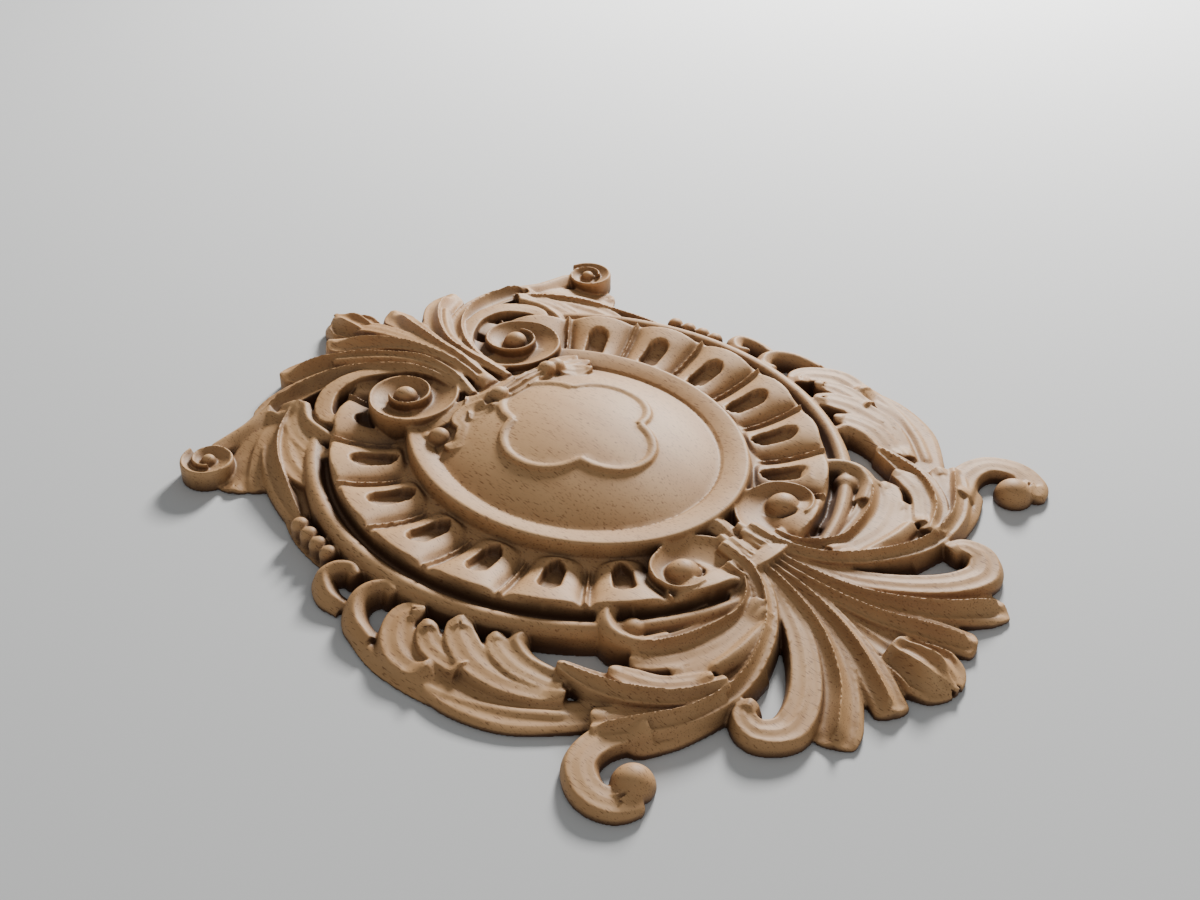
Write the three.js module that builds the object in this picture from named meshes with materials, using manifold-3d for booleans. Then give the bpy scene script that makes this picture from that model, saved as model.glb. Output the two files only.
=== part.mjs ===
import * as THREE from "three";
import { mergeVertices } from "three/addons/utils/BufferGeometryUtils.js";
import Module from "manifold-3d";

// A carved beech shield onlay, lying on its flat back. All sizes are in millimetres.
// +X is the viewer's right, +Y the top of the ornament, +Z out of the carved face.
// All but the garland is symmetric about x = 0, so only its left half (x < 0) is described.

// The shield: a dome in a raised rim, all ellipses about the shield's centre.
const SHIELD_Y = 11;
const DOME_HEIGHT = 24;
const DOME_FLATNESS = 2.1;
const DOME_STEPS = [0, 0.25, 0.5, 0.75, 0.92];
const DOME_FOOT = { rx: 47.8, ry: 56.2, z: 12 };
const RIM_INNER = { rx: 48.4, ry: 56.8, z: 13 };
const RIM_OUTER = { rx: 56, ry: 67, z: 15 };

// The gadroon band and the plain outer roll that frame the shield.
const BAND_FOOT = { rx: 57.5, ry: 68.5, z: 9 };
const BAND_VALLEY = { rx: 68, ry: 77.5, z: 8 };
const BAND_LIP = { rx: 86, ry: 94, z: 12.4 };
const GROOVE = { rx: 87.5, ry: 95.5, z: 6 };
const ROLL_CREST = { rx: 92.5, ry: 100.5, z: 10 };
const ROLL_EDGE = { rx: 97, ry: 104, z: 5 };
const LOBES = 20;
const LOBE_RISE = 2;
const LOBE_REACH = 1.2;
const STEPS_PER_LOBE = 2;

// Volutes: flat drums with a spiral ridge that climbs to a round knob. The radii are
// spaced evenly along the sweep, whose angles are in degrees.
const TOP_VOLUTE = {
  x: -28, y: 74, from: 60, sweep: -630, radii: [22, 19.6, 17.6, 13, 11.6, 9, 7.4, 5.6], ridge: [17.5, 19],
  drum: { x: -24.5, y: 72, radius: 15, top: 15 }, knob: 4.8, top: 19.8,
};
const LOW_VOLUTE = {
  x: -25.6, y: -65.3, from: -30, sweep: 300, radii: [23, 17.5, 10.2, 9.6, 10, 8.4], ridge: [13, 14],
  drum: { x: -23.5, y: -65.5, radius: 10, top: 10.5 }, knob: 6.8, top: 14.8,
};
const DEGREES_PER_PIECE = 40;
const VOLUTE_HALF = [2.2, 1.8];
const VOLUTE_SKIRT = 1.2;

// Beads along the outer roll, between the leaf tip and the first side scroll.
const BEAD_RADIUS = 3.4;
const BEAD_LINE = [[-95.5, 50], [-96.5, 43.5], [-97.5, 37], [-98, 30.5]];
const BEAD_CENTRE_Z = 5;

// How finely the ribs are stepped, and the shape of their section: the shoulder is the
// place of the upper edge across the rib, the fall is the slope from crest to shoulder.
const MM_PER_STEP = 17;
const SKIRT = 1.8;
const SKIRT_HEIGHT = 0.55;
const SHOULDER = 0.72;
const FALL = 0.35;
const WIDE_RIB = 4.3;
const WALL_FROM = 0.75;
const LEAST_HEIGHT = 0.8;
const BEND_LIMIT = 0.8;
const NUDGE = 0.01;
const BOSS_SIDES = 8;
const BOSS_RINGS = 5;
const POST_SHARE = 0.92;
const DRUM_SIDES = 20;

// Every solid runs on below the back and is then sawn off flat at z = 0.
const SAW_ALLOWANCE = 2;
const BLANK = 400;

const wasm = await Module();
wasm.setup();

// A closed three.js geometry as a solid that can be joined.
function toSolid(geometry) {
  const bare = geometry.clone();
  bare.deleteAttribute("normal");
  bare.deleteAttribute("uv");
  const merged = mergeVertices(bare, 1e-4);
  const index = [];
  for (let i = 0; i < merged.index.count; i += 3) {
    const corners = [0, 1, 2].map((k) => merged.index.getX(i + k));
    if (new Set(corners).size === 3) {
      index.push(...corners);
    }
  }
  const vertProperties = new Float32Array(merged.attributes.position.array);
  const triVerts = new Uint32Array(index);
  return new wasm.Manifold(new wasm.Mesh({ numProp: 3, vertProperties, triVerts }));
}

// Joins a list of solids two by two, which keeps each join small.
function join(solids) {
  let list = solids;
  while (list.length > 1) {
    const next = [];
    for (let i = 0; i < list.length; i += 2) {
      next.push(i + 1 < list.length ? list[i].add(list[i + 1]) : list[i]);
    }
    list = next;
  }
  return list[0];
}

// The same solid on the other side of the centre line.
function mirrored(solid) {
  const mesh = solid.getMesh();
  const vertProperties = Float32Array.from(mesh.vertProperties);
  for (let i = 0; i < vertProperties.length; i += 3) {
    vertProperties[i] = -vertProperties[i];
  }
  const triVerts = Uint32Array.from(mesh.triVerts);
  for (let i = 0; i < triVerts.length; i += 3) {
    [triVerts[i], triVerts[i + 1]] = [triVerts[i + 1], triVerts[i]];
  }
  return new wasm.Manifold(new wasm.Mesh({ numProp: 3, vertProperties, triVerts }));
}

// A value between the entries of a list, for s from 0 to 1 along it.
function along(list, s) {
  const place = s * (list.length - 1);
  const i = Math.min(Math.floor(place), list.length - 2);
  return THREE.MathUtils.lerp(list[i], list[i + 1], place - i);
}

// A rib of carving: a rounded ridge along a crest line, with sloping sides
// and an upright wall down to the flat back.
function rib({ path, half, skirt = SKIRT }) {
  const curve = new THREE.CatmullRomCurve3(path.map((p) => new THREE.Vector3(...p)));
  const steps = Math.max(3, Math.round(curve.getLength() / MM_PER_STEP));
  const facets = Math.max(...half) > WIDE_RIB ? 4 : 2;
  const geometry = new THREE.BoxGeometry(1, 1, 1, steps, facets, 1);
  const position = geometry.attributes.position;
  for (let i = 0; i < position.count; i += 1) {
    const s = position.getX(i) + 0.5;
    const across = position.getY(i) * 2;
    const crest = curve.getPoint(s);
    const before = curve.getTangent(Math.max(0, s - NUDGE)).setZ(0).normalize();
    const after = curve.getTangent(Math.min(1, s + NUDGE)).setZ(0).normalize();
    const tangent = before.clone().add(after).normalize();
    const turn = before.x * after.y - before.y * after.x;
    const span = curve.getPoint(Math.min(1, s + NUDGE)).distanceTo(curve.getPoint(Math.max(0, s - NUDGE)));
    const width = along(half, s);
    const reach = Math.abs(across) > WALL_FROM ? width + skirt : width * SHOULDER * Math.abs(across) * 2;
    const insideBend = turn * across > 0;
    const limit = insideBend ? (BEND_LIMIT * span) / Math.max(Math.abs(turn), 1e-6) : Infinity;
    const offset = Math.sign(across) * Math.min(reach, limit);
    const slope = crest.z - Math.abs(across) * FALL * width;
    const top = Math.abs(across) > WALL_FROM ? crest.z * SKIRT_HEIGHT : slope;
    const x = crest.x - tangent.y * offset;
    const y = crest.y + tangent.x * offset;
    position.setXYZ(i, x, y, position.getZ(i) > 0 ? Math.max(top, LEAST_HEIGHT) : -SAW_ALLOWANCE);
  }
  return toSolid(geometry);
}

// A round boss that stands on the back and ends in a dome.
function boss(x, y, top, radius) {
  const centre = Math.max(top - radius, LEAST_HEIGHT);
  const ball = new THREE.SphereGeometry(radius, BOSS_SIDES, BOSS_RINGS)
    .rotateX(Math.PI / 2)
    .translate(x, y, centre);
  const width = radius * POST_SHARE;
  const post = new THREE.CylinderGeometry(width, width, centre + SAW_ALLOWANCE, BOSS_SIDES)
    .rotateX(Math.PI / 2)
    .translate(x, y, (centre - SAW_ALLOWANCE) / 2);
  return toSolid(ball).add(toSolid(post));
}

// A volute: a drum, the spiral ridge on it and the knob at its eye.
function volute({ x, y, from, sweep, radii, ridge, drum, knob, top }) {
  const path = [];
  const pieces = Math.round(Math.abs(sweep) / DEGREES_PER_PIECE);
  for (let i = 0; i <= pieces; i += 1) {
    const t = i / pieces;
    const angle = THREE.MathUtils.degToRad(from + sweep * t);
    const radius = along(radii, t);
    path.push([x + radius * Math.cos(angle), y + radius * Math.sin(angle), along(ridge, t)]);
  }
  const base = new THREE.CylinderGeometry(drum.radius, drum.radius, drum.top + SAW_ALLOWANCE, DRUM_SIDES)
    .rotateX(Math.PI / 2)
    .translate(drum.x, drum.y, (drum.top - SAW_ALLOWANCE) / 2);
  const ramp = rib({ path, half: VOLUTE_HALF, skirt: VOLUTE_SKIRT });
  return join([toSolid(base), ramp, boss(x, y, top, knob)]);
}

// The shield, the gadroon band and the outer roll, as one turned profile
// whose rings are stretched to ellipses; the lobes ripple the band.
function middle() {
  const dome = DOME_STEPS.map((t) => ({
    rx: DOME_FOOT.rx * t,
    ry: DOME_FOOT.ry * t,
    z: DOME_FOOT.z + (DOME_HEIGHT - DOME_FOOT.z) * (1 - t ** DOME_FLATNESS),
  }));
  const flat = { rx: 0, ry: 0, z: -SAW_ALLOWANCE };
  const foot = { rx: ROLL_EDGE.rx, ry: ROLL_EDGE.ry, z: -SAW_ALLOWANCE };
  const rim = [DOME_FOOT, RIM_INNER, RIM_OUTER];
  const band = [BAND_FOOT, BAND_VALLEY, BAND_LIP];
  const roll = [GROOVE, ROLL_CREST, ROLL_EDGE];
  const rings = [...dome, ...rim, ...band, ...roll, foot, flat];
  const profile = rings.map(({ rx, z }) => new THREE.Vector2(rx, z)).reverse();
  const segments = LOBES * STEPS_PER_LOBE;
  const geometry = new THREE.LatheGeometry(profile, segments);
  const position = geometry.attributes.position;
  const order = [...rings].reverse();
  for (let i = 0; i < position.count; i += 1) {
    const ring = order[i % order.length];
    const step = Math.floor(i / order.length) % segments;
    const angle = (2 * Math.PI * step) / segments;
    const ripple = Math.abs(Math.cos((angle * LOBES) / 2));
    const rise = ring === BAND_LIP || ring === BAND_VALLEY ? LOBE_RISE * (ripple - 1) : 0;
    const reach = ring === BAND_LIP ? LOBE_REACH * (ripple - 1) : 0;
    const x = (ring.rx + reach) * Math.cos(angle);
    const y = SHIELD_Y + (ring.ry + reach) * Math.sin(angle);
    position.setXYZ(i, ring.rx === 0 ? 0 : x, ring.rx === 0 ? SHIELD_Y : y, ring.z + rise);
  }
  return toSolid(geometry);
}

// The leaves that spring from the garland and fan out over the top.
const TOP_FAN = [
  {
    path: [[-2, 57, 17.5], [-1.5, 67, 20], [-2, 78, 21.5], [-3, 90, 21], [-5, 102, 20],
      [-9, 117, 17], [-17, 138, 11]],
    half: [2, 2.2, 2.4, 2.8, 4, 5.6, 6.4],
  },
  {
    path: [[-9, 57, 17.5], [-7, 68, 20], [-6.5, 79, 20.5], [-8, 90, 20], [-13, 101, 18.5],
      [-21, 113, 17], [-32, 124, 14], [-45, 132, 10]],
    half: [2, 2.2, 2.6, 3.4, 5, 6.2, 7, 6],
  },
  {
    path: [[-11, 61, 17], [-8.5, 72, 18.5], [-9, 84, 18.5], [-13, 96, 17.5], [-20, 107, 16],
      [-29, 118, 14]],
    half: [1.6, 1.8, 2, 2.2, 2.4, 2.4],
  },
];

// Stems over the top volutes, and the leaves that hang from them.
const SHOULDERS = [
  {
    path: [[-10.5, 66, 17], [-10.5, 77, 18.5], [-14, 88, 19], [-22, 99.5, 18], [-33, 108, 17],
      [-46, 112, 15.5], [-59, 112.5, 14], [-70, 110, 11.5]],
    half: [1.4, 1.8, 3, 4.6, 5.6, 6, 6, 5],
  },
  {
    path: [[-14, 86, 17.5], [-21.5, 94.5, 17.5], [-31.5, 100, 17.5], [-42.5, 100, 17],
      [-50.5, 95, 16], [-54, 89, 15], [-52, 83, 14]],
    half: [1.6, 2.4, 2.8, 3.2, 3.4, 3.2, 2],
  },
  {
    path: [[-64, 111, 12], [-73, 109, 10.5], [-83, 109, 9], [-92, 109, 8]],
    half: [5, 5, 4, 3.4],
  },
  {
    path: [[-65, 107, 12], [-74, 103, 11], [-82.5, 98.5, 9], [-91, 93, 7], [-98, 88, 4]],
    half: [5, 5, 6, 7, 5],
  },
  {
    path: [[-62, 104, 12], [-72, 99, 11], [-80, 93, 9], [-87, 86, 6], [-91, 81, 3.5]],
    half: [4, 4.5, 5, 5, 3],
  },
  {
    path: [[-57, 105, 14], [-69.5, 97, 12], [-78.5, 86, 10.5], [-85, 72, 8.5], [-89.5, 61, 7],
      [-92, 54, 5]],
    half: [5, 6, 6, 5.4, 4, 2],
  },
  {
    path: [[-57, 103, 14.5], [-68, 94, 13], [-75, 83, 12], [-78, 72, 11], [-78, 63, 9]],
    half: [3, 4.4, 5, 5, 3],
  },
  {
    path: [[-56, 103, 15], [-62, 98, 14], [-66, 89, 12.5], [-66.5, 79, 11], [-66, 72, 10]],
    half: [3, 4, 4, 3.6, 2],
  },
  {
    path: [[-55, 101, 14.5], [-59.5, 93, 13], [-59.5, 84, 12], [-58, 77, 10]],
    half: [2, 3, 3, 1.8],
  },
];

// Side leaves: two small scrolls, a rolled leaf and a long stem over the roll.
const FLANKS = [
  {
    path: [[-109, 8, 4], [-109.5, 16, 5.5], [-106, 22.5, 7.5], [-101, 22.5, 8.5], [-97.5, 18, 8.5],
      [-99.5, 13, 8.5]],
    half: [2.6, 3, 3, 3, 2.8, 2.4],
  },
  {
    path: [[-114, -12, 5], [-112, -2, 6.5], [-107, 4, 8], [-101, 5.5, 9], [-95.5, 2.5, 9],
      [-96, -3.5, 9]],
    half: [3, 3.2, 3, 3, 3, 2.6],
  },
  {
    path: [[-111, -36, 7], [-111.5, -24, 9], [-106, -16, 10], [-99.5, -13, 10.5], [-95, -17, 10]],
    half: [5, 5.4, 5.4, 5, 3.6],
  },
  {
    path: [[-103, -44, 8], [-103.5, -30, 9.5], [-98, -21, 10]],
    half: [4, 4.4, 3],
  },
  {
    path: [[-87.5, -74, 5.5], [-96.5, -58.5, 8.5], [-98.5, -45, 10], [-95, -34, 11],
      [-89.5, -27.5, 10.5]],
    half: [3.6, 5, 5.6, 5.2, 3.6],
  },
  {
    path: [[-86, -71, 5.5], [-91, -57.5, 8.5], [-90, -47, 9.5], [-86, -40, 9]],
    half: [3, 3.8, 3.8, 2.8],
  },
  {
    path: [[-83.5, -65, 5.5], [-86, -55.5, 7], [-84, -48, 8.5], [-79.5, -47, 8.5]],
    half: [2.4, 3.2, 3, 2.6],
  },
  {
    path: [[-110, -34, 7], [-110, -50, 7], [-104, -66, 6.5], [-92, -79, 6], [-82, -88, 6]],
    half: [6, 6, 6, 5.4, 4.6],
  },
  {
    path: [[-113, -2, 3], [-116.5, -22, 3.5], [-113, -46, 3.5], [-104, -65, 3.5], [-92, -80, 3.5]],
    half: [2.4, 2.8, 3.2, 3.2, 3],
  },
];

// Lower C-scrolls: the sweeping stem, its fingered leaf and the hooked arm.
const LOWER_SCROLLS = [
  {
    path: [[-7, -66, 14.5], [-8.5, -80, 14], [-16, -92.5, 12.5], [-30, -103, 11.5],
      [-48.5, -109, 10], [-67, -107, 9.5], [-82, -98, 9], [-93, -90, 7]],
    half: [3, 3, 3.4, 4, 4.4, 4.6, 5, 3.4],
  },
  {
    path: [[-12, -73, 13], [-15, -83, 13], [-26, -90, 12.5], [-42, -88, 12], [-54, -82.5, 11.5],
      [-62, -75.5, 11.5]],
    half: [4.6, 5, 5.4, 5.4, 5, 3.6],
  },
  {
    path: [[-18, -92, 12], [-38, -94.5, 12], [-51.5, -90.5, 11.5], [-61, -84.5, 11],
      [-65, -79, 9.5]],
    half: [4, 4.6, 5, 4.6, 3],
  },
  {
    path: [[-20, -96, 11.5], [-40, -98.5, 11.5], [-53, -96.5, 11], [-60, -91, 9.5]],
    half: [3.4, 4.2, 4.4, 3],
  },
  {
    path: [[-25, -100, 11], [-40, -102, 11], [-52, -101, 10]],
    half: [3, 3.6, 3],
  },
  {
    path: [[-50, -82, 10.5], [-59, -77, 11], [-62, -69, 12], [-57.5, -61.5, 12.5], [-49, -59.5, 13],
      [-43.5, -63.5, 13], [-44, -70, 12.5]],
    half: [3.6, 3.4, 3.2, 3.2, 3.2, 3.4, 3],
  },
  {
    path: [[-46, -74, 8.5], [-38, -79, 8.5], [-28, -82, 9]],
    half: [3, 3, 3],
  },
  {
    path: [[-52, -108, 10.5], [-66, -101, 11], [-75, -89.5, 11], [-79, -78, 10], [-81.5, -64, 8.5]],
    half: [3.4, 4.2, 4.6, 4.2, 1.8],
  },
  {
    path: [[-54, -104, 10.5], [-66, -95, 11], [-71, -86.5, 11.5], [-73, -78, 10]],
    half: [3, 3.6, 4, 2.6],
  },
  {
    path: [[-55, -109, 9], [-71, -103, 9.5], [-82.5, -94, 9], [-89, -86, 7.5]],
    half: [3.4, 4.6, 5, 3.4],
  },
  {
    path: [[-38, -109, 7.5], [-55, -109.5, 7], [-74, -105, 7], [-89, -98, 7]],
    half: [3, 4.6, 6, 6],
  },
  {
    path: [[-80, -101, 8], [-93, -95, 8], [-104, -97, 8], [-109.5, -106, 7.5], [-107, -114, 7],
      [-99.5, -116, 7]],
    half: [5, 5, 4.4, 4.4, 5, 5.6],
  },
];

// The fan below the shield, its side scrolls and the bud on its end.
const BOTTOM_FAN = [
  {
    path: [[-4.5, -62.5, 14], [-6, -80, 13], [-11.5, -97, 11], [-22, -113, 10], [-36.5, -126, 9],
      [-50, -131, 8.5], [-58, -126, 8.5], [-57, -119, 8.5], [-51, -117, 8.5]],
    half: [2.4, 3, 3.6, 4.4, 5, 5.6, 4.6, 3.4, 3],
  },
  {
    path: [[-3, -66, 14], [-5, -90, 12], [-12, -112, 10], [-25, -130, 8.5], [-38, -140, 7],
      [-45, -144, 4]],
    half: [2, 3, 4.2, 5.6, 6.4, 4.6],
  },
  {
    path: [[-1.5, -68, 13], [-2, -96, 11.5], [-7, -119, 9.5], [-16, -138, 8], [-22, -149, 5]],
    half: [2, 3, 4.2, 5.2, 4.4],
  },
];

// The garland across the top of the shield: a scroll and leaves on the left, a bound
// bundle in the middle and leaf tips on the right. It isn't mirrored.
const GARLAND = [
  {
    path: [[-4, 47, 20], [-15, 52, 18], [-24, 50, 17.5], [-28.2, 52, 16], [-35.6, 52.4, 14.5]],
    half: [3.4, 4, 3.6, 3, 2.4],
  },
  {
    path: [[-14, 46, 19.5], [-24, 47, 17.5], [-25.3, 42.5, 18], [-32.9, 37.1, 17],
      [-38.1, 40.4, 15]],
    half: [4, 3.6, 3, 3, 2.4],
  },
  {
    path: [[-9, 45.5, 20.5], [-2.3, 44.7, 21.5], [5.9, 45.3, 21.5], [16, 45.5, 20.8],
      [22.9, 46, 20]],
    half: [4, 4.5, 4.5, 4.5, 4],
  },
  {
    path: [[22.9, 46, 20], [30, 48.4, 18.5], [37, 47, 16.5]],
    half: [3.5, 4.4, 2.4],
  },
  {
    path: [[22.9, 45, 20], [29.8, 42, 18.5], [35.5, 39.5, 16.5]],
    half: [3.5, 4.2, 2.4],
  },
];
const GARLAND_KNOTS = [[-34.8, 48, 15.5, 3.6], [-5.8, 45.1, 22, 4.5], [22.9, 46, 20.8, 4.2]];

// The narrow ledge that carries the beads beside the outer roll.
const BEAD_LEDGE = [
  {
    path: [[-90, 60, 3], [-94, 50, 3], [-96, 40, 3], [-97, 27, 3]],
    half: [3.5, 3.5, 3.5, 3.5],
    skirt: 1,
  },
];

const LEFT_RIBS = [...BEAD_LEDGE, ...TOP_FAN, ...SHOULDERS, ...FLANKS, ...LOWER_SCROLLS, ...BOTTOM_FAN];

// Round ends and berries, as x, y, top and radius.
const BOSSES = [
  [-97.5, 103, 8.5, 9],
  [-54.5, -70.5, 11, 5],
  [-98, -112.5, 8, 7],
];

// Ridges on the centre line: the top finial, the fan's spine and its bud.
const CENTRE_RIBS = [
  {
    path: [[0, 57, 17.5], [0, 72, 20.5], [0, 90, 20.5], [0, 110, 18], [0, 128, 14.5], [0, 139, 11]],
    half: [2, 2, 2.4, 3, 4, 5],
  },
  {
    path: [[0, 134, 11], [0, 143, 11], [0, 156, 9]],
    half: [7, 10, 5.5],
  },
  {
    path: [[0, -57, 14.5], [0, -80, 13], [0, -101, 10.5], [0, -123.5, 8.5], [0, -140, 8]],
    half: [4.5, 4, 4, 5, 6],
  },
  {
    path: [[0, -136, 8], [0, -148, 9.5], [0, -157, 5]],
    half: [7, 11, 7],
  },
];

// The round knot from which the top fan springs.
const FAN_KNOT = [0, 61, 19, 5];

const leftHalf = join([
  ...LEFT_RIBS.map(rib),
  ...BOSSES.map((b) => boss(...b)),
  ...BEAD_LINE.map(([x, y]) => boss(x, y, BEAD_CENTRE_Z + BEAD_RADIUS, BEAD_RADIUS)),
  volute(TOP_VOLUTE),
  volute(LOW_VOLUTE),
]);
const centre = [...CENTRE_RIBS, ...GARLAND].map(rib);
const knots = [...GARLAND_KNOTS, FAN_KNOT].map((k) => boss(...k));
const uncut = join([leftHalf, mirrored(leftHalf), ...centre, ...knots, middle()]);
const waste = new THREE.BoxGeometry(BLANK, BLANK, BLANK).translate(0, 0, -BLANK / 2);
const carving = uncut.subtract(toSolid(waste));

const mesh = carving.getMesh();
const geometry = new THREE.BufferGeometry();
geometry.setAttribute("position", new THREE.BufferAttribute(mesh.vertProperties, 3));
geometry.setIndex(new THREE.BufferAttribute(mesh.triVerts, 1));
geometry.computeVertexNormals();

const beech = new THREE.MeshStandardMaterial({ color: 0xc79f79, roughness: 0.62, metalness: 0 });
const shieldOnlay = new THREE.Mesh(geometry, beech);
shieldOnlay.name = "shield_onlay";

const onlay = new THREE.Group();
onlay.add(shieldOnlay);

export default onlay;
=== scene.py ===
import math

import bmesh
import bpy
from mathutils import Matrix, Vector


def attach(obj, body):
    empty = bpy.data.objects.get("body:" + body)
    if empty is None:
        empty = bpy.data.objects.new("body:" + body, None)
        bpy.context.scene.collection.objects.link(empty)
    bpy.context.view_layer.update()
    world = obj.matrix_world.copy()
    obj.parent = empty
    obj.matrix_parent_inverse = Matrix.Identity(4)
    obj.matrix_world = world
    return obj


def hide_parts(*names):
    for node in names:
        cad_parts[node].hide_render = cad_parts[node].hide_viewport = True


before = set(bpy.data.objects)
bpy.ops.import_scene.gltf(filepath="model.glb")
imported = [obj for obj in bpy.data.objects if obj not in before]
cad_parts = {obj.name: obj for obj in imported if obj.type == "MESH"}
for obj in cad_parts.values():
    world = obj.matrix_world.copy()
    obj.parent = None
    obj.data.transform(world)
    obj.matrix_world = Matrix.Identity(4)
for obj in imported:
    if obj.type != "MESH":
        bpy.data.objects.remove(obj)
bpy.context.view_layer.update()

bl_info = {
    "name": "Carved shield onlay",
    "version": (1, 0, 0),
    "blender": (4, 5, 0),
    "location": "3D View > Sidebar > Onlay",
    "description": "Carves a beech shield onlay with scrolls and leaves and sets a plain stage",
    "category": "Add Mesh",
}

MM = 0.001
BODY = "root"
NODE = "shield_onlay"

# The shield and its frame. Each ring is: half width, half height and height, in millimetres,
# as an ellipse about the shield's centre. The left half is described and mirrored about x = 0.
SHIELD_Y = 11.0
DOME_FOOT = (47.8, 56.2, 12.0)
DOME_FLATNESS = 2.1
FRAME_RINGS = [
    (48.0, 56.4, 12.6), (48.6, 57.0, 13.1), (52.0, 61.5, 14.2), (55.4, 66.2, 15.0), (56.4, 67.3, 14.6),
    (57.1, 68.0, 11.5), (57.5, 68.5, 9.2), (60.0, 70.5, 8.3), (64.0, 74.0, 7.9), (68.0, 77.5, 8.2),
    (72.0, 81.0, 8.9), (76.0, 84.6, 9.9), (80.0, 88.3, 11.0), (84.0, 92.0, 12.1), (85.6, 93.6, 12.4),
    (86.4, 94.4, 11.0), (86.9, 94.9, 6.6), (88.0, 95.9, 5.8), (89.0, 96.8, 6.8), (90.0, 97.7, 8.8),
    (91.5, 99.2, 9.9), (93.0, 100.6, 10.2), (95.0, 102.4, 9.2), (96.4, 103.5, 7.0), (97.0, 104.0, 3.5),
]
BAND_FOOT_RX = 57.5
BAND_LIP_RX = 85.6

# The gadroons. Places along the band run from 0 at its foot to 1 at its lip, and places across
# a lobe from 0 in its middle to 1 at the fold between two lobes. Rises are in millimetres.
LOBES = 20
STEPS_PER_LOBE = 24
LOBE_RISE = 4.2
LOBE_SINK = 2.0
LOBE_HALF = 0.86
FOLD_RISE = 2.4
FOLD_HALF = 0.055
SLOT_FROM = 0.12
SLOT_TO = 0.76
SLOT_END = 0.17
SLOT_HALF = 0.29
SLOT_DEPTH = 3.6
SLOT_WALL = 0.05
SLOT_FOOT_SHARE = 1.2
SLOT_LOSS = 0.5
LOBE_FOOT = 0.16
FOOT_DIP = 0.12
FOOT_HALF = 0.9
FOOT_BELOW = 0.03
FOOT_ABOVE = 0.05
LIP_FROM = 0.72
LIP_END = 1.02
LIP_SCALLOP = 1.5
LIP_BACK = 1.0
LIP_POINT = 1.2
POINT_HALF = 0.12
LIP_FLATTENING = 0.35

# The section of a rib: how far its sides fall over its half width, how high its wall starts,
# how deep its flutes are, how deeply its tip is notched, how far its wall spreads at the foot
# (the skirt), and the least height of any edge. Shares are of the rib's length or half width.
RIB_SINK = 0.7
WALL_FOOT = 0.3
FLUTE_DEPTH = 0.6
TIP_NOTCH = 1.5
NOTCH_SHARPNESS = 6
TIP_SHARE = 0.3
TIP_FALL = 0.25
BEND_LIMIT = 0.42
LEAST_HEIGHT = 0.6
FLUTE_START = 0.12
FLUTE_CURVE = 0.7
FLUTED_DROP = 0.75
SKIRT = 1.4
LEAST_STEPS = 8
LEAST_TIP = 0.02
TINY = 1e-6
RIB_FACETS = 16
FLUTE_FACETS = 12

# Round ends: the facets around and up a ball, and its post's share of the radius.
BALL_SEGMENTS = 28
BALL_RINGS = 16
POST_SHARE = 0.96

# The section of a volute's ramp: the ridge's share of it, the ridge's width and rounding, how
# far the channel stops short of the next turn, and how quickly it falls to its floor.
DEGREES_PER_STEP = 7
VOLUTE_FACETS = 14
RIDGE_SHARE = 0.16
RIDGE_WIDTH = 0.9
RIDGE_ROUNDING = 1.1
RIDGE_GAP = 1.0
KNOB_OVERLAP = 0.6
KNOB_TURN = 0.25
CHANNEL_FALL = 1.6
CHANNEL_CURVE = 0.6

# Volutes: a spiral ridge over a hollow channel, climbing to a round knob. The radii are
# spaced evenly along the sweep, whose angles are in degrees; ridge is the height from end to end.
VOLUTES = [
    {"x": -28.0, "y": 74.0, "from": 60, "sweep": -630, "radii": [22, 19.6, 17.6, 13, 11.6, 9, 7.4, 5.6],
     "ridge": (17.5, 19.2), "knob": 4.9, "top": 20.0, "channel": 3.6},
    {"x": -25.6, "y": -65.3, "from": -30, "sweep": 300, "radii": [23, 17.5, 11.4, 10.2, 10.4, 9.4],
     "ridge": (13.0, 14.5), "knob": 6.6, "top": 15.0, "channel": 3.4},
    {"x": -97.0, "y": 103.4, "from": 95, "sweep": 500, "radii": [9.6, 9.4, 8.6, 7.0, 5.4, 4.4],
     "ridge": (8.4, 8.8), "knob": 2.8, "top": 9.2, "channel": 2.6},
]

# Ribs: a crest line (x, y, height), the half widths along it, how round the section is
# (under 1 the sides are hollow, over 1 they are full) and, where it is fluted, how many
# hollow channels run along it.
TOP_FAN = [
    ([(-2, 57, 17.5), (-1.5, 67, 20), (-2, 78, 21.5), (-3, 90, 21), (-5, 102, 20), (-9, 117, 17),
      (-17, 138, 11)],
     [2, 2.2, 2.4, 2.8, 4, 5.6, 6.4], 1.3, 2),
    ([(-9, 57, 17.5), (-7, 68, 20), (-6.5, 79, 20.5), (-8, 90, 20), (-13, 101, 18.5), (-21, 113, 17),
      (-32, 124, 14), (-45, 132, 10)],
     [2, 2.2, 2.6, 3.4, 5, 6.2, 7, 6], 1.2, 2),
    ([(-11, 61, 17), (-8.5, 72, 18.5), (-9, 84, 18.5), (-13, 96, 17.5), (-20, 107, 16), (-29, 118, 14)],
     [1.6, 1.8, 2, 2.2, 2.4, 2.4], 1.5),
]
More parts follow.
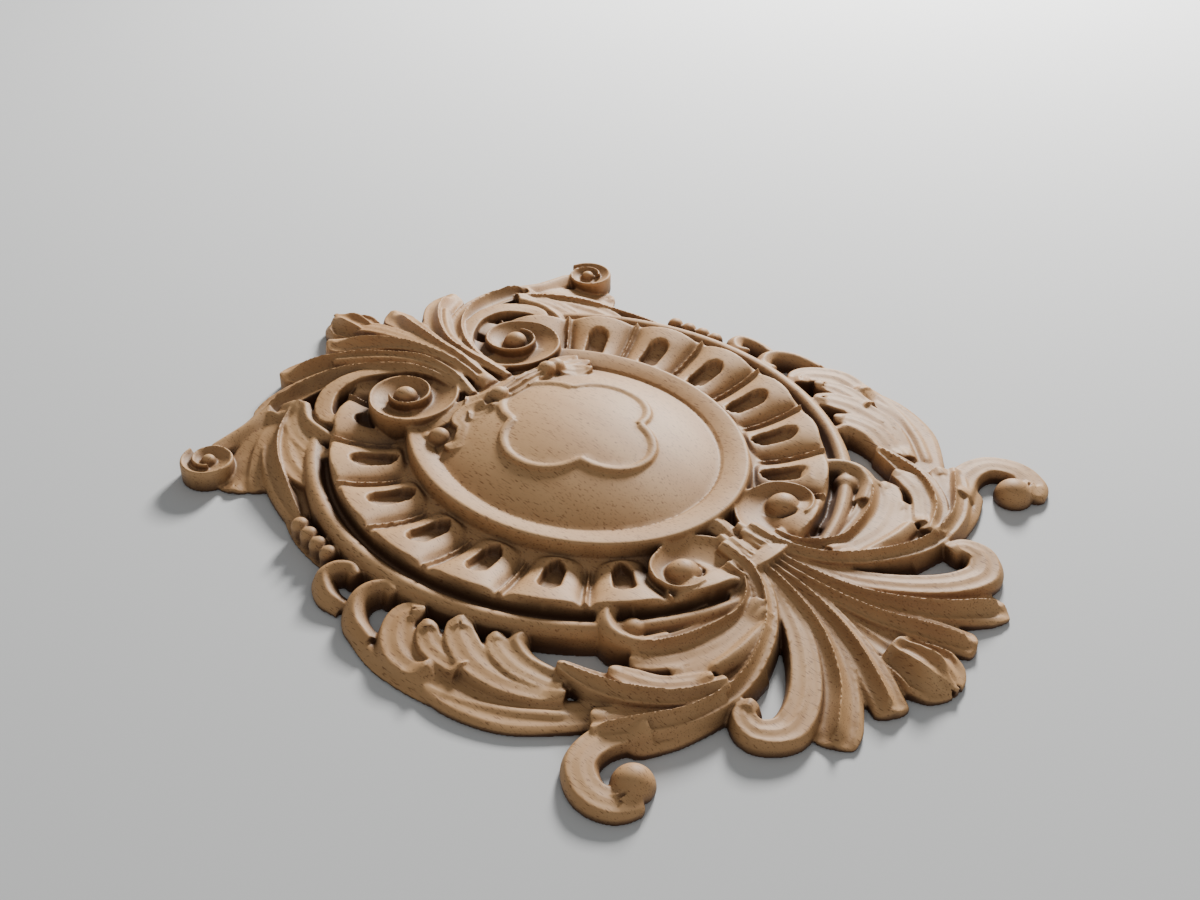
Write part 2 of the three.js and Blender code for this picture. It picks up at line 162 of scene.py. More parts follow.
SHOULDERS = [
    ([(-10.5, 66, 17), (-10.5, 77, 18.5), (-14, 88, 19), (-22, 99.5, 18), (-33, 108, 17),
      (-46, 112, 15.5), (-59, 112.5, 14), (-70, 110, 11.5)],
     [1.4, 1.8, 3, 4.6, 5.6, 6, 6, 5], 1.0, 2),
    ([(-14, 86, 17.5), (-21.5, 94.5, 17.5), (-31.5, 100, 17.5), (-42.5, 100, 17), (-50.5, 95, 16),
      (-54, 89, 15), (-52, 83, 14)],
     [1.6, 2.4, 2.8, 3.2, 3.4, 3.2, 2], 1.4, 1),
    ([(-64, 111, 12), (-73, 109, 10.5), (-83, 109, 9), (-92, 109, 8)], [5, 5, 4, 3.4], 1.4),
    ([(-65, 107, 12), (-74, 103, 11), (-82.5, 98.5, 9), (-91, 93, 7), (-98, 88, 4)],
     [5, 5, 6, 7, 5], 2.0, 1),
    ([(-62, 104, 12), (-72, 99, 11), (-80, 93, 9), (-87, 86, 6), (-91, 81, 3.5)],
     [4, 4.5, 5, 5, 3], 2.0, 1),
    ([(-57, 105, 14), (-69.5, 97, 12), (-78.5, 86, 10.5), (-85, 72, 8.5), (-89.5, 61, 7), (-92, 54, 5)],
     [5, 6, 6, 5.4, 4, 2], 1.0, 2),
    ([(-57, 103, 14.5), (-68, 94, 13), (-75, 83, 12), (-78, 72, 11), (-78, 63, 9)],
     [3, 4.4, 5, 5, 3], 1.1, 1),
    ([(-56, 103, 15), (-62, 98, 14), (-66, 89, 12.5), (-66.5, 79, 11), (-66, 72, 10)],
     [3, 4, 4, 3.6, 2], 1.3, 1),
    ([(-55, 101, 14.5), (-59.5, 93, 13), (-59.5, 84, 12), (-58, 77, 10)], [2, 3, 3, 1.8], 1.3),
]
FLANKS = [
    ([(-109, 8, 4), (-109.5, 16, 5.5), (-106, 22.5, 7.5), (-101, 22.5, 8.5), (-97.5, 18, 8.5),
      (-99.5, 13, 8.5)],
     [2.6, 3, 3, 3, 2.8, 2.4], 1.4),
    ([(-114, -12, 5), (-112, -2, 6.5), (-107, 4, 8), (-101, 5.5, 9), (-95.5, 2.5, 9), (-96, -3.5, 9)],
     [3, 3.2, 3, 3, 3, 2.6], 1.4),
    ([(-111, -36, 7), (-111.5, -24, 9), (-106, -16, 10), (-99.5, -13, 10.5), (-95, -17, 10)],
     [5, 5.4, 5.4, 5, 3.6], 1.2, 1),
    ([(-103, -44, 8), (-103.5, -30, 9.5), (-98, -21, 10)], [4, 4.4, 3], 1.2, 1),
    ([(-87.5, -74, 5.5), (-96.5, -58.5, 8.5), (-98.5, -45, 10), (-95, -34, 11), (-89.5, -27.5, 10.5)],
     [3.6, 5, 5.6, 5.2, 3.6], 1.3, 1),
    ([(-86, -71, 5.5), (-91, -57.5, 8.5), (-90, -47, 9.5), (-86, -40, 9)], [3, 3.8, 3.8, 2.8], 1.3, 1),
    ([(-83.5, -65, 5.5), (-86, -55.5, 7), (-84, -48, 8.5), (-79.5, -47, 8.5)], [2.4, 3.2, 3, 2.6], 1.4),
    ([(-110, -34, 7), (-110, -50, 7), (-104, -66, 6.5), (-92, -79, 6), (-82, -88, 6)],
     [6, 6, 6, 5.4, 4.6], 1.4, 1),
    ([(-113, -2, 3), (-116.5, -22, 3.5), (-113, -46, 3.5), (-104, -65, 3.5), (-92, -80, 3.5)],
     [2.4, 2.8, 3.2, 3.2, 3], 2.0),
    ([(-90, 60, 3), (-94, 50, 3), (-96, 40, 3), (-97, 27, 3)], [3.5, 3.5, 3.5, 3.5], 2.0),
]
LOWER_SCROLLS = [
    ([(-7, -66, 14.5), (-8.5, -80, 14), (-16, -92.5, 12.5), (-30, -103, 11.5), (-48.5, -109, 10),
      (-67, -107, 9.5), (-82, -98, 9), (-93, -90, 7)],
     [3, 3, 3.4, 4, 4.4, 4.6, 5, 3.4], 0.9, 2),
    ([(-12, -73, 13), (-15, -83, 13), (-26, -90, 12.5), (-42, -88, 12), (-54, -82.5, 11.5),
      (-62, -75.5, 11.5)],
     [4.6, 5, 5.4, 5.4, 5, 3.6], 0.9, 2),
    ([(-18, -92, 12), (-38, -94.5, 12), (-51.5, -90.5, 11.5), (-61, -84.5, 11), (-65, -79, 9.5)],
     [4, 4.6, 5, 4.6, 3], 1.4, 1),
    ([(-20, -96, 11.5), (-40, -98.5, 11.5), (-53, -96.5, 11), (-60, -91, 9.5)],
     [3.4, 4.2, 4.4, 3], 1.4, 1),
    ([(-25, -100, 11), (-40, -102, 11), (-52, -101, 10)], [3, 3.6, 3], 1.4),
    ([(-50, -82, 10.5), (-59, -77, 11), (-62, -69, 12), (-57.5, -61.5, 12.5), (-49, -59.5, 13),
      (-43.5, -63.5, 13), (-44, -70, 12.5)],
     [3.6, 3.4, 3.2, 3.2, 3.2, 3.4, 3], 1.4),
    ([(-46, -74, 8.5), (-38, -79, 8.5), (-28, -82, 9)], [3, 3, 3], 1.4),
    ([(-52, -108, 10.5), (-66, -101, 11), (-75, -89.5, 11), (-79, -78, 10), (-81.5, -64, 8.5)],
     [3.4, 4.2, 4.6, 4.2, 1.8], 1.0, 2),
    ([(-54, -104, 10.5), (-66, -95, 11), (-71, -86.5, 11.5), (-73, -78, 10)], [3, 3.6, 4, 2.6], 1.2, 1),
    ([(-55, -109, 9), (-71, -103, 9.5), (-82.5, -94, 9), (-89, -86, 7.5)], [3.4, 4.6, 5, 3.4], 1.2, 1),
    ([(-38, -109, 7.5), (-55, -109.5, 7), (-74, -105, 7), (-89, -98, 7)], [3, 4.6, 6, 6], 1.4, 1),
    ([(-80, -101, 8), (-93, -95, 8), (-104, -97, 8), (-109.5, -106, 7.5), (-107, -114, 7),
      (-99.5, -116, 7)],
     [5, 5, 4.4, 4.4, 5, 5.6], 1.4, 1),
]
BOTTOM_FAN = [
    ([(-4.5, -62.5, 14), (-6, -80, 13), (-11.5, -97, 11), (-22, -113, 10), (-36.5, -126, 9),
      (-50, -131, 8.5), (-58, -126, 8.5), (-57, -119, 8.5), (-51, -117, 8.5)],
     [2.4, 3, 3.6, 4.4, 5, 5.6, 4.6, 3.4, 3], 1.1, 1),
    ([(-3, -66, 14), (-5, -90, 12), (-12, -112, 10), (-25, -130, 8.5), (-38, -140, 7), (-45, -144, 4)],
     [2, 3, 4.2, 5.6, 6.4, 4.6], 1.2, 2),
    ([(-1.5, -68, 13), (-2, -96, 11.5), (-7, -119, 9.5), (-16, -138, 8), (-22, -149, 5)],
     [2, 3, 4.2, 5.2, 4.4], 1.1, 2),
]
# The garland over the shield isn't mirrored: its scroll is on the left, its leaf tips on the right.
GARLAND = [
    ([(-9, 45.5, 21.7), (-2.3, 44.9, 22.8), (5.9, 45.3, 23), (13, 46, 22.4), (22, 46, 21.4)],
     [3.8, 5.8, 5.8, 5.4, 4], 2.0, 5),
    ([(-8, 47.5, 21.7), (-15, 51.5, 20.2), (-22, 53.5, 19), (-28.2, 53.4, 18), (-34, 54, 16.2),
      (-38, 50.5, 15.4)],
     [3.4, 4.2, 4, 3.4, 2.8, 2.2], 1.2, 1),
    ([(-13, 46.4, 21.2), (-20, 48.4, 20.2), (-24.6, 46.6, 19.8), (-26, 42, 19.6), (-32.4, 37.6, 18.4),
      (-38, 40.2, 16.4)],
     [3.4, 3.8, 3.4, 3.2, 3.2, 2.4], 1.2, 1),
    ([(-14.9, 55, 19), (-11, 51, 20.6), (-7.6, 46.9, 22.2)], [3.4, 3.6, 2.0], 1.0, 1),
    ([(-21, 46, 20), (-16.5, 42.4, 21.2), (-11, 41.4, 22)], [3.2, 3.4, 2.0], 1.0, 1),
    ([(23, 47.4, 21), (30, 49.6, 19.8), (37.5, 48.4, 17.6)], [3.2, 4.4, 1.6], 0.9, 1),
    ([(23.4, 45.6, 21.4), (31, 45, 19.8), (38.4, 42.6, 17.6)], [2.6, 3.8, 1.6], 0.9, 1),
    ([(22.9, 44.2, 21.4), (28.6, 40.8, 20.4), (34.6, 37.4, 18.8)], [3.0, 4.0, 1.6], 0.9, 1),
]

# The garland's knots, then the knot that ties the upper fan: x, y, top and radius.
GARLAND_KNOTS = [
    (-34.6, 46.8, 17.8, 4.2), (-6.4, 45.2, 23.6, 4), (18.4, 45.8, 23.4, 3.8), (22.9, 46.0, 22.6, 4),
]
FAN_KNOT = (0, 61, 19, 5)

LEFT_RIBS = TOP_FAN + SHOULDERS + FLANKS + LOWER_SCROLLS + BOTTOM_FAN
CENTRE_RIBS = [
    ([(0, 57, 17.5), (0, 72, 20.5), (0, 90, 20.5), (0, 110, 18), (0, 128, 14.5), (0, 139, 11)],
     [2, 2, 2.4, 3, 4, 5], 1.2, 1),
    ([(0, 130, 11), (0, 143, 12), (0, 155.6, 9)], [7, 10, 6.5], 1.8, 3),
    ([(0, -57, 14.5), (0, -80, 13), (0, -101, 10.5), (0, -123.5, 8.5), (0, -140, 8)],
     [4.5, 4, 4, 5, 6], 0.9, 1),
    ([(0, -132, 8.5), (0, -146, 10.5), (0, -156.8, 5.5)], [7, 11, 7.5], 1.8, 3),
]

# Round ends, berries and beads: x, y, top and radius.
BOSSES = [
    (-54.5, -70.5, 11, 5), (-98, -112.5, 8, 7),
    (-95.5, 50, 8.4, 3.4), (-96.5, 43.5, 8.4, 3.4), (-97.5, 37, 8.4, 3.4), (-98, 30.5, 8.4, 3.4),
]

# The fillet on the dome: its lobes' distance from the middle, their radius and their stretch.
FILLET_REACH = 14.0
FILLET_RADIUS = 15.0
FILLET_STRETCH = 1.15
FILLET_STEPS = 40
FILLET_HALF = 1.5
FILLET_ROUNDNESS = 2.0
FILLET_EDGE = 0.3

# Rings on the dome, and steps between two rings of the band.
DOME_RINGS = 24
BAND_STEPS = 4

# How the joined carving is softened and shaded, and how near the back counts as on it.
SOFT_FACTOR = 0.5
SOFT_PASSES = 5
SHARP_ANGLE = math.radians(50)
BACK_SHARE = 0.4

# The stage, in metres and degrees: each lamp is name, place, power and width.
FLOOR_HALF = 4.0
FLOOR_DROP = 0.0002
FLOOR_COLOUR = (0.72, 0.72, 0.71, 1)
LAMPS = (
    ("key", (0.85, 0.42, 0.46), 24.0, 0.22),
    ("fill", (-0.5, -0.9, 0.9), 1.5, 1.0),
)
SKY_COLOUR = (0.9, 0.93, 0.95, 1)
SKY_STRENGTH = 0.27
TARGET = (0.0153, 0.0141, 0.0)
AZIMUTH = math.radians(-45)
ELEVATION = math.radians(35.26)
DISTANCE = 0.6
LENS = 48.0
SENSOR = 36.0

# The colours of the late wood and of the flecks, as shares of the planed wood's colour.
LATE_WOOD = (0.86, 0.80, 0.74)
FLECK = (0.46, 0.38, 0.32)

# How often the growth lines and the flecks repeat in a metre, across, along and through.
GROWTH_SCALE = (90, 9, 60)
FLECK_SCALE = (2400, 300, 2400)
# How far the painted shade in the recesses looks for nearby carving, in metres.
PAINTED_SHADE_REACH = 0.012


def dome_height(x, y):
    """Height of the shield's dome over a point, in millimetres."""
    size = bpy.context.scene.onlay_sizes
    t = min(1.0, math.hypot(x / DOME_FOOT[0], (y - SHIELD_Y) / DOME_FOOT[1]))
    return DOME_FOOT[2] + (size.dome_height - DOME_FOOT[2]) * (1 - t ** DOME_FLATNESS)


def smooth(edge0, edge1, value):
    """Rises softly from 0 at edge0 to 1 at edge1."""
    t = min(1.0, max(0.0, (value - edge0) / (edge1 - edge0)))
    return t * t * (3 - 2 * t)


def spline(points, s):
    """A point on a smooth curve through the points, for s from 0 to 1."""
    place = min(max(s, 0.0), 1.0) * (len(points) - 1)
    i = min(int(place), len(points) - 2)
    t = place - i
    b, c = points[i], points[i + 1]
    a = points[i - 1] if i > 0 else b + (b - c)
    d = points[i + 2] if i + 2 < len(points) else c + (c - b)
    square = (2 * a - 5 * b + 4 * c - d) * t ** 2
    cube = (3 * b - a - 3 * c + d) * t ** 3
    return 0.5 * (2 * b + (c - a) * t + square + cube)


def along(values, s):
    """A value between the entries of a list, for s from 0 to 1 along it."""
    place = min(max(s, 0.0), 1.0) * (len(values) - 1)
    i = min(int(place), len(values) - 2)
    return values[i] + (values[i + 1] - values[i]) * (place - i)


def close_down(bm, faces, floor=0.0):
    """Turns a sheet of faces into a solid with upright walls and a flat underside."""
    made = bmesh.ops.extrude_face_region(bm, geom=faces, use_keep_orig=True)
    for item in made["geom"]:
        if isinstance(item, bmesh.types.BMVert):
            item.co.z = floor


def stations(path, half, steps):
    """At each step of a rib: its crest point, side direction, bend, run and half width."""
    points = [Vector(p) for p in path]
    crests = [spline(points, i / steps) for i in range(steps + 1)]
    made = []
    for i, crest in enumerate(crests):
        after = (crests[min(i + 1, steps)] - crests[min(i, steps - 1)]).xy
        before = (crests[max(i, 1)] - crests[max(i - 1, 0)]).xy
        run = before.length + after.length
        before.normalize()
        after.normalize()
        tangent = (before + after).normalized()
        bend = before.x * after.y - before.y * after.x
        made.append((crest, Vector((-tangent.y, tangent.x)), bend, run, along(half, i / steps)))
    return made


def add_rib(bm, path, half, roundness, flutes=0, side=1, skirt=SKIRT, sink=RIB_SINK):
    """A ridge of carving with a round tip, sloping sides and walls down to the back."""
    size = bpy.context.scene.onlay_sizes
    length = sum((Vector(b) - Vector(a)).length for a, b in zip(path, path[1:]))
    steps = max(LEAST_STEPS, round(length / size.step))
    across = RIB_FACETS if flutes < 2 else FLUTE_FACETS * flutes
    sheet = bmesh.ops.create_grid(bm, x_segments=steps, y_segments=across, size=0.5)
    cap = min(TIP_SHARE, half[-1] / length)
    edge = 1 - 2 / across
    spine = stations(path, half, steps)
    for vert in sheet["verts"]:
        s = vert.co.x + 0.5
        v = vert.co.y * 2
        crest, sideways, bend, run, width = spine[round(s * steps)]
        tip = max(0.0, (s - (1 - cap)) / cap)
        width *= math.sqrt(max(LEAST_TIP, 1 - tip * tip))
        inner = min(1.0, abs(v) / edge)
        drop = sink * width * inner ** roundness
        notch = 0.0
        if flutes and inner < 1.0:
            phase = (v / edge + 1) / 2 * flutes
            ridge = abs(math.cos(math.pi * phase)) ** NOTCH_SHARPNESS
            notch = ridge * smooth(1 - 2 * cap, 1.0, s) * TIP_NOTCH
            channel = math.sin(math.pi * (phase - math.floor(phase))) ** FLUTE_CURVE
            flute = FLUTE_DEPTH * width / math.sqrt(flutes) * channel * smooth(0.0, FLUTE_START, s)
            drop = drop * FLUTED_DROP + flute
        reach = width * inner
        z = crest.z - drop - TIP_FALL * half[-1] * tip * tip
        if abs(v) > edge + TINY:
            reach = width + skirt
            z = crest.z * WALL_FOOT
        if bend * v > 0:
            reach = min(reach, BEND_LIMIT * run / max(abs(bend), TINY))
        forward = Vector((sideways.y, -sideways.x))
        back = forward * notch * half[-1] / max(1, flutes)
        place = crest.xy + sideways * math.copysign(reach, v) - back
        vert.co = Vector((side * place.x, place.y, max(z, LEAST_HEIGHT)))
    faces = list({face for vert in sheet["verts"] for face in vert.link_faces})
    close_down(bm, faces)


def add_boss(bm, x, y, top, radius, side=1):
    """A round end: the upper part of a ball on a short post."""
    centre = max(top - radius, LEAST_HEIGHT)
    width = radius * POST_SHARE
    ball = bmesh.ops.create_uvsphere(bm, u_segments=BALL_SEGMENTS, v_segments=BALL_RINGS, radius=radius)
    bmesh.ops.translate(bm, verts=ball["verts"], vec=(side * x, y, centre))
    for vert in ball["verts"]:
        vert.co.z = max(vert.co.z, 0.0)
    post = bmesh.ops.create_cone(
        bm, cap_ends=True, segments=BALL_SEGMENTS, radius1=width, radius2=width, depth=centre
    )
    bmesh.ops.translate(bm, verts=post["verts"], vec=(side * x, y, centre / 2))


def add_volute(bm, volute, side=1):
    """A scroll end: a ridge with a hollow channel inside it, winding inwards and up to its knob."""
    sweep = volute["sweep"]
    pieces = round(abs(sweep) / DEGREES_PER_STEP)
    turns = abs(sweep) / 360
    sheet = bmesh.ops.create_grid(bm, x_segments=pieces, y_segments=VOLUTE_FACETS, size=0.5)
    for vert in sheet["verts"]:
        s = vert.co.x + 0.5
        v = vert.co.y + 0.5
        angle = math.radians(volute["from"] + sweep * s)
        outer = along(volute["radii"], s)
        later = s + 1 / turns
        inner = volute["knob"] * KNOB_OVERLAP
        if later < 1.0:
            inner = along(volute["radii"], later) - RIDGE_GAP
        if 1.0 - KNOB_TURN / turns < later < 1.0:
            inner = min(inner, volute["knob"])
        crest = along(volute["ridge"], s)
        if v < RIDGE_SHARE:
            t = 1 - v / RIDGE_SHARE
            radius = outer + RIDGE_WIDTH * t
            z = crest - RIDGE_ROUNDING * (1 - math.sqrt(max(0.0, 1 - t ** 2)))
        else:
            t = (v - RIDGE_SHARE) / (1 - RIDGE_SHARE)
            radius = outer + (inner - outer) * t
            z = crest - volute["channel"] * min(1.0, CHANNEL_FALL * t) ** CHANNEL_CURVE
        x = volute["x"] + radius * math.cos(angle)
        y = volute["y"] + radius * math.sin(angle)
        vert.co = Vector((side * x, y, z))
    faces = list({face for vert in sheet["verts"] for face in vert.link_faces})
    close_down(bm, faces)


def lobe_relief(rx, angle):
    """Height and reach that the gadroons add to the band, by place across and around it."""
    turns = angle * LOBES / (2 * math.pi)
    u = turns - round(turns)
    place = (rx - BAND_FOOT_RX) / (BAND_LIP_RX - BAND_FOOT_RX)
    if place <= 0.0 or place > LIP_END:
        return 0.0, 0.0
    width = abs(u) * 2
    foot = LOBE_FOOT - FOOT_DIP * math.sqrt(max(0.0, 1 - (width / FOOT_HALF) ** 2))
    fade = smooth(foot - FOOT_BELOW, foot + FOOT_ABOVE, place)
    lobe = (LOBE_RISE * math.sqrt(max(0.0, 1 - (width / LOBE_HALF) ** 2)) - LOBE_SINK) * fade
    fold = FOLD_RISE * math.exp(-((width - 1.0) / FOLD_HALF) ** 2) * fade
    ends = min(place - SLOT_FROM, SLOT_TO - place) / SLOT_END
    reach_across = SLOT_HALF * math.sqrt(max(0.0, 1 - (1 - min(1.0, max(0.0, ends))) ** 2))
    depth = smooth(0.0, SLOT_WALL, reach_across - width) if ends > 0 else 0.0
    slot = -SLOT_DEPTH * depth * (SLOT_FOOT_SHARE - SLOT_LOSS * place)
    lip = smooth(LIP_FROM, 1.0, place)
    point = LIP_POINT * math.exp(-((width - 1.0) / POINT_HALF) ** 2)
    reach = lip * (LIP_SCALLOP * math.cos(math.pi * u) ** 2 - LIP_BACK + point)
    return lobe * (1 - LIP_FLATTENING * lip) + fold + slot, reach


def add_shield(bm):
    """The dome, its rim, the gadroon band and the outer roll, spun from one profile."""
    dome = []
    for i in range(DOME_RINGS + 1):
        t = i / DOME_RINGS
        dome.append((DOME_FOOT[0] * t, DOME_FOOT[1] * t, dome_height(DOME_FOOT[0] * t, SHIELD_Y)))
    rings = dome[:-1] + [DOME_FOOT]
    for a, b in zip([DOME_FOOT] + FRAME_RINGS, FRAME_RINGS):
        parts = BAND_STEPS if BAND_FOOT_RX <= b[0] <= BAND_LIP_RX else 1
        for k in range(1, parts + 1):
            rings.append(tuple(p + (q - p) * k / parts for p, q in zip(a, b)))
    rings.append((*FRAME_RINGS[-1][:2], 0.0))
    steps = LOBES * STEPS_PER_LOBE
    verts = [bm.verts.new((i + 1.0, 0, 0)) for i in range(len(rings) - 1)]
    edges = [bm.edges.new(pair) for pair in zip(verts, verts[1:])]
    bmesh.ops.spin(
        bm,
        geom=verts + edges,
        cent=(0, 0, 0),
        axis=(0, 0, 1),
        angle=2 * math.pi,
        steps=steps,
        use_merge=True,
    )
    for vert in bm.verts:
        index = round(math.hypot(vert.co.x, vert.co.y))
        angle = math.atan2(vert.co.y, vert.co.x)
        rx, ry, z = rings[index]
        rise, reach = lobe_relief(rx, angle)
        x = (rx + reach) * math.cos(angle)
        y = SHIELD_Y + (ry + reach) * math.sin(angle)
        vert.co = Vector((x, y, z + rise))
    border = [e for e in bm.edges if e.is_boundary]
    bmesh.ops.holes_fill(bm, edges=border, sides=0)


def add_device(bm):
    """A four-lobed fillet laid on the shield's dome, its arcs meeting in four cusps."""
    size = bpy.context.scene.onlay_sizes
    cusp = FILLET_REACH / 2 + math.sqrt(FILLET_RADIUS ** 2 / 2 - FILLET_REACH ** 2 / 4)
    span = math.atan2(cusp, cusp - FILLET_REACH)
    half = [FILLET_HALF, FILLET_HALF]
    for quarter in range(4):
        heading = math.pi / 2 * quarter
        cx = FILLET_REACH * math.cos(heading)
        cy = SHIELD_Y + FILLET_STRETCH * FILLET_REACH * math.sin(heading)
        path = []
        for i in range(FILLET_STEPS + 1):
            angle = heading - span + 2 * span * i / FILLET_STEPS
            x = cx + FILLET_RADIUS * math.cos(angle)
            y = cy + FILLET_STRETCH * FILLET_RADIUS * math.sin(angle)
            path.append((x, y, dome_height(x, y) + size.device_rise))
        add_rib(bm, path, half, FILLET_ROUNDNESS, skirt=FILLET_EDGE, sink=FILLET_EDGE)


def make_beech():
    """Sanded beech: warm tan, fine flecks along the grain, and painted shade darkening the recesses."""
    size = bpy.context.scene.onlay_sizes
    material = bpy.data.materials.new("beech")
    material.use_nodes = True
    nodes = material.node_tree.nodes
    links = material.node_tree.links
    shader = nodes["Principled BSDF"]
    shader.inputs["Roughness"].default_value = 0.58
    shader.inputs["Specular IOR Level"].default_value = 0.35
    place = nodes.new("ShaderNodeTexCoord")

    def stretched(scale, detail, distortion=0.0):
        mapping = nodes.new("ShaderNodeMapping")
        mapping.inputs["Scale"].default_value = scale
        noise = nodes.new("ShaderNodeTexNoise")
        noise.inputs["Scale"].default_value = 1.0
        noise.inputs["Detail"].default_value = detail
        noise.inputs["Distortion"].default_value = distortion
        links.new(place.outputs["Object"], mapping.inputs["Vector"])
        links.new(mapping.outputs["Vector"], noise.inputs["Vector"])
        return noise.outputs["Fac"]

    def ramp(source, low, high):
        node = nodes.new("ShaderNodeMapRange")
        node.inputs["From Min"].default_value = low
        node.inputs["From Max"].default_value = high
        links.new(source, node.inputs["Value"])
        return node.outputs["Result"]

    def mixed(factor, under, over):
        node = nodes.new("ShaderNodeMix")
        node.data_type = "RGBA"
        for name, value in (("Factor", factor), ("A", under), ("B", over)):
            socket = node.inputs[name]
            if isinstance(value, bpy.types.NodeSocket):
                links.new(value, socket)
            else:
                socket.default_value = value
        return node.outputs["Result"]

    growth = ramp(stretched(GROWTH_SCALE, 3, 0.4), 0.3, 0.7)
    flecks = ramp(stretched(FLECK_SCALE, 1), 0.60, 0.70)
    light = (*size.light_wood, 1)
    painted_shade_tint = (*size.painted_shade_colour, 1)
    late = (*(value * share for value, share in zip(size.light_wood, LATE_WOOD)), 1)
    fleck = (*(value * share for value, share in zip(size.light_wood, FLECK)), 1)
    wood = mixed(growth, light, late)
    flecked = mixed(flecks, wood, fleck)
    # Painted shade: the colour darkens towards the shade colour where ambient occlusion finds carving
    # close around.
    painted_shade = nodes.new("ShaderNodeAmbientOcclusion")
    painted_shade.samples = 8
    painted_shade.inputs["Distance"].default_value = PAINTED_SHADE_REACH
    shade = ramp(painted_shade.outputs["AO"], 0.96, 0.46)
    links.new(mixed(shade, flecked, painted_shade_tint), shader.inputs["Base Color"])
    return material


class OnlaySizes(bpy.types.PropertyGroup):
    """Sizes in millimetres, the wood's colour and the colour of the painted shade in the recesses."""

    dome_height: bpy.props.FloatProperty(
        name="Dome height", description="Top of the shield over the back", default=23.5
    )
    device_rise: bpy.props.FloatProperty(
        name="Fillet rise", description="How far the fillet stands proud", default=1.1
    )
    step: bpy.props.FloatProperty(
        name="Rib step", description="Spacing of the sections along a rib", default=1.0
    )
    voxel: bpy.props.FloatProperty(
        name="Grid", description="Grid on which the carving is joined", default=0.45
    )
    keep: bpy.props.IntProperty(
        name="Triangles", description="Most triangles in the carving", default=190000
    )
    light_wood: bpy.props.FloatVectorProperty(
        name="Wood",
        description="Colour of the planed wood",
        subtype="COLOR",
        default=(0.66, 0.385, 0.175),
    )
    # The colour of the painted shade in the recesses, not a colour of the wood.
    painted_shade_colour: bpy.props.FloatVectorProperty(
        name="Recess",
        description="Colour deep in the carving",
        subtype="COLOR",
        default=(0.075, 0.032, 0.014),
    )


class ONLAY_OT_carve(bpy.types.Operator):
    """Carve the whole onlay as one solid of beech"""

    bl_idname = "onlay.carve"
    bl_label = "Carve onlay"

    def execute(self, context):
        size = context.scene.onlay_sizes
        mesh = bpy.data.meshes.new("shield_onlay_carving")
        rounds = bmesh.new()
        knobs = [(volute["x"], volute["y"], volute["top"], volute["knob"]) for volute in VOLUTES]
        for side in (1, -1):
            for boss in BOSSES + knobs:
                add_boss(rounds, *boss, side=side)
        for knot in GARLAND_KNOTS + [FAN_KNOT]:
            add_boss(rounds, *knot)
        rounds.to_mesh(mesh)
        rounds.free()
        bm = bmesh.new()
        add_shield(bm)
        bm.from_mesh(mesh)
        for side in (1, -1):
            for rib in LEFT_RIBS:
                add_rib(bm, *rib, side=side)
            for volute in VOLUTES:
                add_volute(bm, volute, side)
        for rib in CENTRE_RIBS + GARLAND:
            add_rib(bm, *rib)
        add_device(bm)
        bmesh.ops.recalc_face_normals(bm, faces=bm.faces)
        bmesh.ops.scale(bm, vec=(MM, MM, MM), verts=bm.verts)
        bm.to_mesh(mesh)
        bm.free()
        carving = bpy.data.objects.new("shield_onlay_carving", mesh)
        context.scene.collection.objects.link(carving)
        joined = carving.modifiers.new("joined", "REMESH")
        joined.mode = "VOXEL"
        joined.voxel_size = size.voxel * MM
        made = carving.evaluated_get(context.evaluated_depsgraph_get())
        full = bpy.data.meshes.new_from_object(made)
        carving.modifiers.clear()
        carving.data = full
        softened = carving.modifiers.new("softened", "SMOOTH")
        softened.factor = SOFT_FACTOR
        softened.iterations = SOFT_PASSES
        full.calc_loop_triangles()
        count = len(full.loop_triangles)
        if count == 0:
            raise RuntimeError("the carving came out empty")
        lighter = carving.modifiers.new("lighter", "DECIMATE")
        lighter.ratio = min(1.0, size.keep / count)
        made = carving.evaluated_get(context.evaluated_depsgraph_get())
        solid = bpy.data.meshes.new_from_object(made)
        carving.modifiers.clear()
        carving.data = solid
        solid.name = "shield_onlay_carving"
        for vert in solid.vertices:
            if vert.co.z < BACK_SHARE * size.voxel * MM:
                vert.co.z = 0.0
        solid.shade_smooth()
        solid.set_sharp_from_angle(angle=SHARP_ANGLE)
        solid.materials.clear()
        solid.materials.append(make_beech())
        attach(carving, BODY)
        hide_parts(NODE)
        print("triangles", len(solid.polygons))
        return {"FINISHED"}


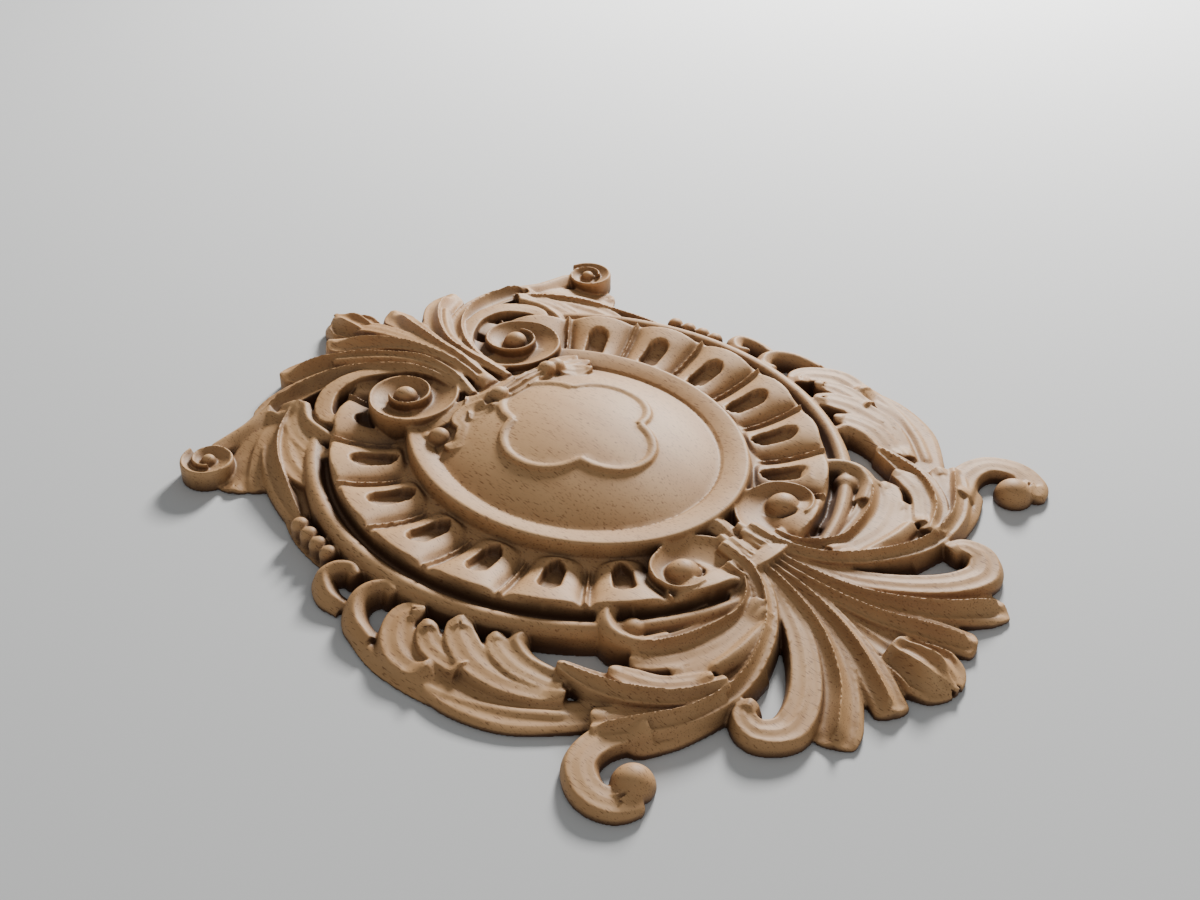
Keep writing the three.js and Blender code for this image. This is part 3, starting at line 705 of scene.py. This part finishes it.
class ONLAY_OT_stage(bpy.types.Operator):
    """Set the pale floor, the soft lights and the camera"""

    bl_idname = "onlay.stage"
    bl_label = "Set stage"

    def execute(self, context):
        floor_mesh = bpy.data.meshes.new("floor")
        bm = bmesh.new()
        bmesh.ops.create_grid(bm, x_segments=1, y_segments=1, size=FLOOR_HALF)
        bmesh.ops.translate(bm, verts=bm.verts, vec=(0, 0, -FLOOR_DROP))
        bm.to_mesh(floor_mesh)
        bm.free()
        floor = bpy.data.objects.new("floor", floor_mesh)
        plain = bpy.data.materials.new("pale_floor")
        plain.use_nodes = True
        shader = plain.node_tree.nodes["Principled BSDF"]
        shader.inputs["Base Color"].default_value = FLOOR_COLOUR
        shader.inputs["Roughness"].default_value = 0.9
        floor_mesh.materials.append(plain)
        context.scene.collection.objects.link(floor)
        target = Vector(TARGET)
        for name, place, power, width in LAMPS:
            lamp = bpy.data.lights.new(name, "AREA")
            lamp.energy = power
            lamp.size = width
            light = bpy.data.objects.new(name, lamp)
            light.location = place
            light.rotation_euler = (target - Vector(place)).to_track_quat("-Z", "Y").to_euler()
            context.scene.collection.objects.link(light)
        world = bpy.data.worlds.new("studio")
        world.use_nodes = True
        sky = world.node_tree.nodes["Background"]
        sky.inputs["Color"].default_value = SKY_COLOUR
        sky.inputs["Strength"].default_value = SKY_STRENGTH
        context.scene.world = world
        camera_data = bpy.data.cameras.new("camera")
        camera_data.lens = LENS
        camera_data.sensor_width = SENSOR
        camera_data.clip_start = 0.01
        camera = bpy.data.objects.new("camera", camera_data)
        level = math.cos(ELEVATION)
        away = Vector((math.sin(AZIMUTH) * level, -math.cos(AZIMUTH) * level, math.sin(ELEVATION)))
        camera.location = target + DISTANCE * away
        camera.rotation_euler = (-away).to_track_quat("-Z", "Y").to_euler()
        context.scene.collection.objects.link(camera)
        context.scene.camera = camera
        return {"FINISHED"}


class ONLAY_PT_panel(bpy.types.Panel):
    """The onlay's sizes and the steps that make it"""

    bl_idname = "ONLAY_PT_panel"
    bl_label = "Shield onlay"
    bl_space_type = "VIEW_3D"
    bl_region_type = "UI"
    bl_category = "Onlay"

    def draw(self, context):
        for name in OnlaySizes.__annotations__:
            self.layout.prop(context.scene.onlay_sizes, name)
        self.layout.operator("onlay.carve")
        self.layout.operator("onlay.stage")


CLASSES = (OnlaySizes, ONLAY_OT_carve, ONLAY_OT_stage, ONLAY_PT_panel)


def register():
    for cls in CLASSES:
        bpy.utils.register_class(cls)
    bpy.types.Scene.onlay_sizes = bpy.props.PointerProperty(type=OnlaySizes)


def unregister():
    del bpy.types.Scene.onlay_sizes
    for cls in reversed(CLASSES):
        bpy.utils.unregister_class(cls)


def main():
    register()
    bpy.ops.onlay.carve()
    bpy.ops.onlay.stage()


if __name__ == "__main__":
    main()
